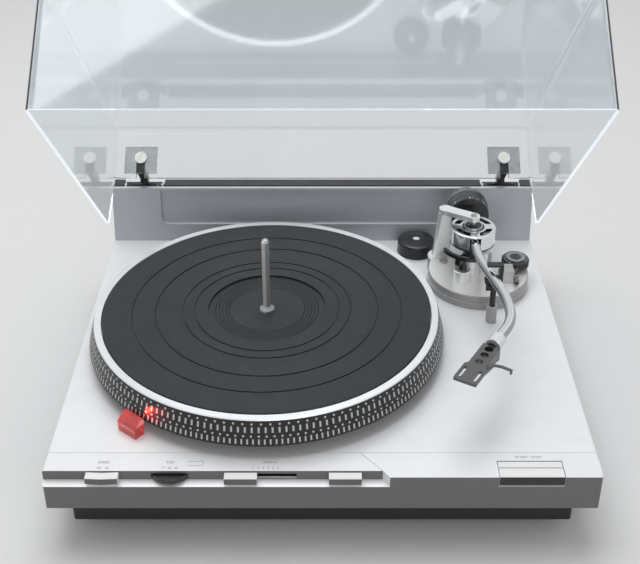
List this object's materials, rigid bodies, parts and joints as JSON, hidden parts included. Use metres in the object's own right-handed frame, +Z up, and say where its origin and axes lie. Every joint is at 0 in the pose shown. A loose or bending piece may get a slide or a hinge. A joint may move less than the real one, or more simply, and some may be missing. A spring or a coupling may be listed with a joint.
{
  "type": "turntable",
  "caption": "Direct-drive record player with a tall changer spindle, an S-shaped tonearm with counterweight, front keys and a hinged clear dust cover.",
  "frame": {"origin": "middle of the whole part's width and depth, the open cover included, on the plane that the feet stand on", "axes": "+X to the right seen from the front, +Y towards the back, +Z up; the cover is stored open as in the picture"},
  "size_m": [0.43, 0.3918, 0.4065],
  "materials": {
    "satin_silver": "satin silver paint",
    "panel_silver": "satin silver panel",
    "key_silver": "bright plated plastic",
    "black_plastic": "fine grained black",
    "steel": "zinc plated",
    "rubber_black": "black rubber",
    "iron": "laminated core",
    "board": "phenolic board",
    "coil_wire": "enamelled wire",
    "platter_metal": "turned aluminium with a printed band",
    "mat_rubber": "dark slate rubber",
    "bright_metal": "polished",
    "arm_metal": "polished tube",
    "dial_plastic": "black with light marks",
    "base_metal": "satin anodised",
    "lamp_red": "clear red",
    "cover_clear": "clear, lightly smoked",
    "hinge_grey": "grey clear plastic",
    "screw_white": "white nylon"
  },
  "bodies": {
    "plinth": {"plinth_casing": "satin_silver", "front_strip": "panel_silver", "start_key_wire": "steel", "base_tray": "black_plastic", "tray_screws": "steel", "feet": "rubber_black", "cord_glands": "rubber_black", "transformer": "iron", "circuit_board": "board", "rear_fascia": "panel_silver", "rear_housing": "black_plastic", "hinge_holders": "black_plastic", "hinge_pins": "steel", "motor_stator": "steel", "stator_coils": "coil_wire", "bearing_housing": "steel", "strobe_prism": "lamp_red", "tonearm_base": "base_metal", "pivot_pillar": "bright_metal", "pivot_neck": "black_plastic", "pivot_bracket": "arm_metal", "pivot_screw": "steel", "bracket_screw": "steel", "lifter_cylinder": "bright_metal", "arm_rest_post": "base_metal", "arm_rest_clip": "black_plastic", "cue_block": "black_plastic", "antiskate_neck": "dial_plastic"},
    "platter": {"platter": "platter_metal", "platter_mat": "mat_rubber", "rotor_magnet": "iron", "motor_shaft": "steel"},
    "spindle": {"changer_spindle": "bright_metal"},
    "adapter": {"adapter_45": "black_plastic"},
    "arm_yoke": {"gimbal_yoke": "bright_metal", "gimbal_ring": "bright_metal", "gimbal_pins": "steel"},
    "arm": {"arm_hub": "arm_metal", "arm_tube": "arm_metal", "rear_shaft": "arm_metal"},
    "weight_carrier": {"weight_sleeve": "dial_plastic"},
    "weight": {"counterweight": "arm_metal"},
    "dial": {"force_dial": "dial_plastic"},
    "collar": {"locking_collar": "bright_metal"},
    "shell": {"headshell": "arm_metal", "finger_lift": "arm_metal"},
    "lifter": {"lift_bar": "bright_metal"},
    "cue": {"cue_lever": "dial_plastic"},
    "bias": {"antiskate_knob": "black_plastic", "antiskate_cap": "arm_metal"},
    "speed_key": {"speed_rocker": "key_silver"},
    "size_dial": {"size_wheel": "key_silver"},
    "memo_key": {"memo_slider": "key_silver"},
    "reject": {"reject_key": "key_silver"},
    "start": {"start_key": "key_silver"},
    "cover": {"dust_cover": "cover_clear", "cover_hinge_plates": "hinge_grey", "cover_screws": "screw_white"}
  },
  "joints": [
    {"name": "platter_spin", "type": "hinge", "parent": "plinth", "child": "platter", "pos_m": [-0.049, -0.01637, 0.1], "axis": [0, 0, 1], "continuous": true},
    {"name": "spindle_lift", "type": "slide", "parent": "platter", "child": "spindle", "axis": [0, 0, 1], "range_m": [0, 0.02]},
    {"name": "adapter_lift", "type": "slide", "parent": "plinth", "child": "adapter", "axis": [0, 0, 1], "range_m": [0, 0.02]},
    {"name": "arm_swing", "type": "hinge", "parent": "plinth", "child": "arm_yoke", "pos_m": [0.142, 0.07213, 0.12], "axis": [0, 0, -1], "range_deg": [0, 43]},
    {"name": "arm_rise", "type": "hinge", "parent": "arm_yoke", "child": "arm", "pos_m": [0.142, 0.07213, 0.1285], "axis": [-1, 0, 0], "range_deg": [0, 3]},
    {"name": "weight_shift", "type": "slide", "parent": "arm", "child": "weight_carrier", "axis": [0, 1, 0], "range_m": [-0.003, 0.003]},
    {"name": "weight_turn", "type": "hinge", "parent": "weight_carrier", "child": "weight", "pos_m": [0.142, 0.11913, 0.1285], "axis": [0, 1, 0], "range_deg": [-215, 215]},
    {"name": "dial_turn", "type": "hinge", "parent": "weight_carrier", "child": "dial", "pos_m": [0.142, 0.10713, 0.1285], "axis": [0, 1, 0], "range_deg": [-215, 215]},
    {"name": "collar_turn", "type": "hinge", "parent": "arm", "child": "collar", "pos_m": [0.14052, -0.09956, 0.1285], "axis": [0.515, 0.8572, 0], "range_deg": [0, 90]},
    {"name": "shell_seat", "type": "slide", "parent": "arm", "child": "shell", "axis": [-0.515, -0.8572, 0], "range_m": [0, 0.0015]},
    {"name": "lift_rise", "type": "slide", "parent": "plinth", "child": "lifter", "axis": [0, 0, 1], "range_m": [0, 0.0045]},
    {"name": "cue_turn", "type": "hinge", "parent": "plinth", "child": "cue", "pos_m": [0.176, 0.05863, 0.0935], "axis": [-1, 0, 0], "range_deg": [0, 50]},
    {"name": "bias_turn", "type": "hinge", "parent": "plinth", "child": "bias", "pos_m": [0.1865, 0.08063, 0.092], "axis": [0, 0, 1], "range_deg": [0, 270]},
    {"name": "speed_rock", "type": "hinge", "parent": "plinth", "child": "speed_key", "pos_m": [-0.1688, -0.18987, 0.0668], "axis": [0, 1, 0], "range_deg": [-4, 4]},
    {"name": "size_turn", "type": "hinge", "parent": "plinth", "child": "size_dial", "pos_m": [-0.1175, -0.17787, 0.0663], "axis": [0, 0, 1], "range_deg": [-45, 45]},
    {"name": "memo_slide", "type": "slide", "parent": "plinth", "child": "memo_key", "axis": [1, 0, 0], "range_m": [0, 0.038]},
    {"name": "reject_press", "type": "slide", "parent": "plinth", "child": "reject", "axis": [0, 0, -1], "range_m": [0, 0.001], "stiffness_N_per_m": 150, "springref_m": -0.002},
    {"name": "start_press", "type": "hinge", "parent": "plinth", "child": "start", "pos_m": [0.1603, -0.17987, 0.068], "axis": [1, 0, 0], "range_deg": [0, 5], "stiffness_Nm_per_rad": 0.08, "springref_deg": -8.59},
    {"name": "cover_hinge", "type": "hinge", "parent": "plinth", "child": "cover", "pos_m": [0, 0.17413, 0.1246], "axis": [-1, 0, 0], "range_deg": [-45.4, 15]}
  ],
  "couplings": [
    {"joint": "weight_shift", "follows": "weight_turn", "m_per_rad": 0.000796},
    {"joint": "collar_turn", "follows": "shell_seat", "rad_per_m": 1047},
    {"joint": "cue_turn", "follows": "lift_rise", "rad_per_m": 193.9}
  ]
}
